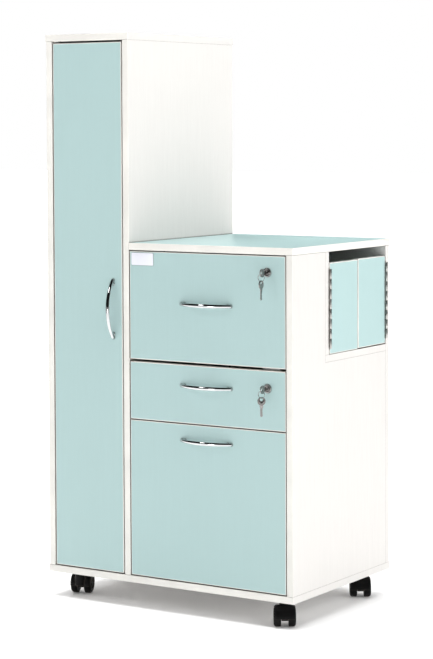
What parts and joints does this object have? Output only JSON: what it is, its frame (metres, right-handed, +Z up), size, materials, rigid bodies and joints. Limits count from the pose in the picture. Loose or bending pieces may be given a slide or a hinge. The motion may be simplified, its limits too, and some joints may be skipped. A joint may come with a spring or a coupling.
{
  "type": "bedside cabinet",
  "caption": "Ward bedside combination on castors: a tall narrow wardrobe beside a cabinet with lockable drawers and a side niche with a pair of small doors.",
  "frame": {"origin": "middle of the bounding box on the floor", "axes": "+Z up, +Y from the front with the doors to the back, +X to the right as seen from the front, towards the niche"},
  "size_m": [0.7544, 0.538, 1.474],
  "materials": {
    "white_board": "white melamine-faced board with a fine embossed grain",
    "aqua_board": "pale aqua laminate on board, satin, very fine emboss",
    "white_edging": "white plastic edging, satin",
    "drawer_board": "white melamine drawer board",
    "chrome": "polished chrome plate",
    "nickel": "nickel plate, lightly brushed",
    "zinc_steel": "bright zinc-plated steel",
    "hinge_steel": "rolled steel hinge strip",
    "nylon": "white nylon",
    "catch_plastic": "black moulded plastic",
    "label_plate": "blank satin aluminium plate",
    "castor_hood": "black moulded nylon, semi-gloss",
    "castor_wheel": "black tread on a nylon wheel"
  },
  "bodies": {
    "root": {"base_panel": "white_board", "wardrobe_side": "white_board", "divider_panel": "white_board", "wardrobe_top": "white_board", "wardrobe_back": "white_board", "wardrobe_shelf": "white_board", "hanging_rail": "chrome", "cabinet_side": "white_board", "worktop": "aqua_board", "cabinet_back": "white_board", "niche_floor": "white_board", "niche_wall": "white_board", "carcass_edging": "white_edging", "fixed_slides": "zinc_steel", "pivot_bushes": "nylon", "lock_keepers": "zinc_steel", "castor_plates": "zinc_steel", "niche_hinge_frames": "hinge_steel", "magnetic_catch": "catch_plastic"},
    "wardrobe_door": {"wardrobe_door": "aqua_board", "wardrobe_door_edging": "white_edging", "door_pivot_pins": "zinc_steel", "wardrobe_handle": "chrome", "catch_plate": "zinc_steel"},
    "top_drawer": {"top_drawer_front": "aqua_board", "top_drawer_edging": "white_edging", "top_drawer_box": "drawer_board", "top_drawer_slides": "zinc_steel", "top_drawer_handle": "chrome", "label_plate": "label_plate", "top_lock_housing": "nickel"},
    "middle_drawer": {"middle_drawer_front": "aqua_board", "middle_drawer_edging": "white_edging", "middle_drawer_box": "drawer_board", "middle_drawer_slides": "zinc_steel", "middle_drawer_handle": "chrome", "middle_lock_housing": "nickel"},
    "bottom_drawer": {"bottom_drawer_front": "aqua_board", "bottom_drawer_edging": "white_edging", "bottom_drawer_box": "drawer_board", "bottom_drawer_slides": "zinc_steel", "bottom_drawer_handle": "chrome"},
    "top_lock": {"top_lock_key": "nickel"},
    "middle_lock": {"middle_lock_key": "nickel"},
    "top_spare": {"top_spare_key": "nickel"},
    "middle_spare": {"middle_spare_key": "nickel"},
    "front_niche_door": {"front_niche_door": "aqua_board", "front_niche_edging": "white_edging", "front_niche_leaf": "hinge_steel"},
    "rear_niche_door": {"rear_niche_door": "aqua_board", "rear_niche_edging": "white_edging", "rear_niche_leaf": "hinge_steel"},
    "front_left_castor": {"front_left_hood": "castor_hood"},
    "front_left_wheel_pair": {"front_left_wheels": "castor_wheel"},
    "front_right_castor": {"front_right_hood": "castor_hood"},
    "front_right_wheel_pair": {"front_right_wheels": "castor_wheel"},
    "rear_left_castor": {"rear_left_hood": "castor_hood"},
    "rear_left_wheel_pair": {"rear_left_wheels": "castor_wheel"},
    "rear_right_castor": {"rear_right_hood": "castor_hood"},
    "rear_right_wheel_pair": {"rear_right_wheels": "castor_wheel"}
  },
  "joints": [
    {"name": "wardrobe_door_swing", "type": "hinge", "parent": "root", "child": "wardrobe_door", "pos_m": [-0.3437, -0.221, 0.768], "axis": [0, 0, -1], "range_deg": [0, 100]},
    {"name": "top_drawer_slide", "type": "slide", "parent": "root", "child": "top_drawer", "axis": [0, -1, 0], "range_m": [0, 0.09]},
    {"name": "middle_drawer_slide", "type": "slide", "parent": "root", "child": "middle_drawer", "axis": [0, -1, 0], "range_m": [0, 0.3]},
    {"name": "bottom_drawer_slide", "type": "slide", "parent": "root", "child": "bottom_drawer", "axis": [0, -1, 0], "range_m": [0, 0.3]},
    {"name": "front_niche_door_swing", "type": "hinge", "parent": "root", "child": "front_niche_door", "pos_m": [0.3742, -0.0505, 0.778], "axis": [0, 0, -1], "range_deg": [0, 170]},
    {"name": "rear_niche_door_swing", "type": "hinge", "parent": "root", "child": "rear_niche_door", "pos_m": [0.3742, 0.2445, 0.778], "axis": [0, 0, 1], "range_deg": [0, 170]},
    {"name": "top_lock_turn", "type": "hinge", "parent": "top_drawer", "child": "top_lock", "pos_m": [0.2988, -0.23, 0.8777], "axis": [0, -1, 0], "range_deg": [0, 90]},
    {"name": "top_spare_key_hang", "type": "hinge", "parent": "top_lock", "child": "top_spare", "pos_m": [0.2988, -0.2585, 0.87096], "axis": [0, -1, 0], "range_deg": [-90, 0]},
    {"name": "middle_lock_turn", "type": "hinge", "parent": "middle_drawer", "child": "middle_lock", "pos_m": [0.2988, -0.23, 0.5922], "axis": [0, -1, 0], "range_deg": [0, 90]},
    {"name": "middle_spare_key_hang", "type": "hinge", "parent": "middle_lock", "child": "middle_spare", "pos_m": [0.2988, -0.2585, 0.58546], "axis": [0, -1, 0], "range_deg": [-90, 0]},
    {"name": "front_left_swivel", "type": "hinge", "parent": "root", "child": "front_left_castor", "pos_m": [-0.3162, -0.176, 0.06], "axis": [0, 0, 1], "continuous": true},
    {"name": "front_left_roll", "type": "hinge", "parent": "front_left_castor", "child": "front_left_wheel_pair", "pos_m": [-0.32372, -0.15533, 0.025], "axis": [-0.9397, -0.342, 0], "continuous": true},
    {"name": "front_right_swivel", "type": "hinge", "parent": "root", "child": "front_right_castor", "pos_m": [0.3128, -0.176, 0.06], "axis": [0, 0, 1], "continuous": true},
    {"name": "front_right_roll", "type": "hinge", "parent": "front_right_castor", "child": "front_right_wheel_pair", "pos_m": [0.32478, -0.19445, 0.025], "axis": [0.8387, 0.5446, 0], "continuous": true},
    {"name": "rear_left_swivel", "type": "hinge", "parent": "root", "child": "rear_left_castor", "pos_m": [-0.3162, 0.209, 0.06], "axis": [0, 0, 1], "continuous": true},
    {"name": "rear_left_roll", "type": "hinge", "parent": "rear_left_castor", "child": "rear_left_wheel_pair", "pos_m": [-0.30422, 0.19055, 0.025], "axis": [0.8387, 0.5446, 0], "continuous": true},
    {"name": "rear_right_swivel", "type": "hinge", "parent": "root", "child": "rear_right_castor", "pos_m": [0.3128, 0.209, 0.06], "axis": [0, 0, 1], "continuous": true},
    {"name": "rear_right_roll", "type": "hinge", "parent": "rear_right_castor", "child": "rear_right_wheel_pair", "pos_m": [0.32478, 0.19055, 0.025], "axis": [0.8387, 0.5446, 0], "continuous": true}
  ],
  "couplings": [
    {"joint": "top_spare_key_hang", "follows": "top_lock_turn", "ratio": -1},
    {"joint": "middle_spare_key_hang", "follows": "middle_lock_turn", "ratio": -1}
  ]
}
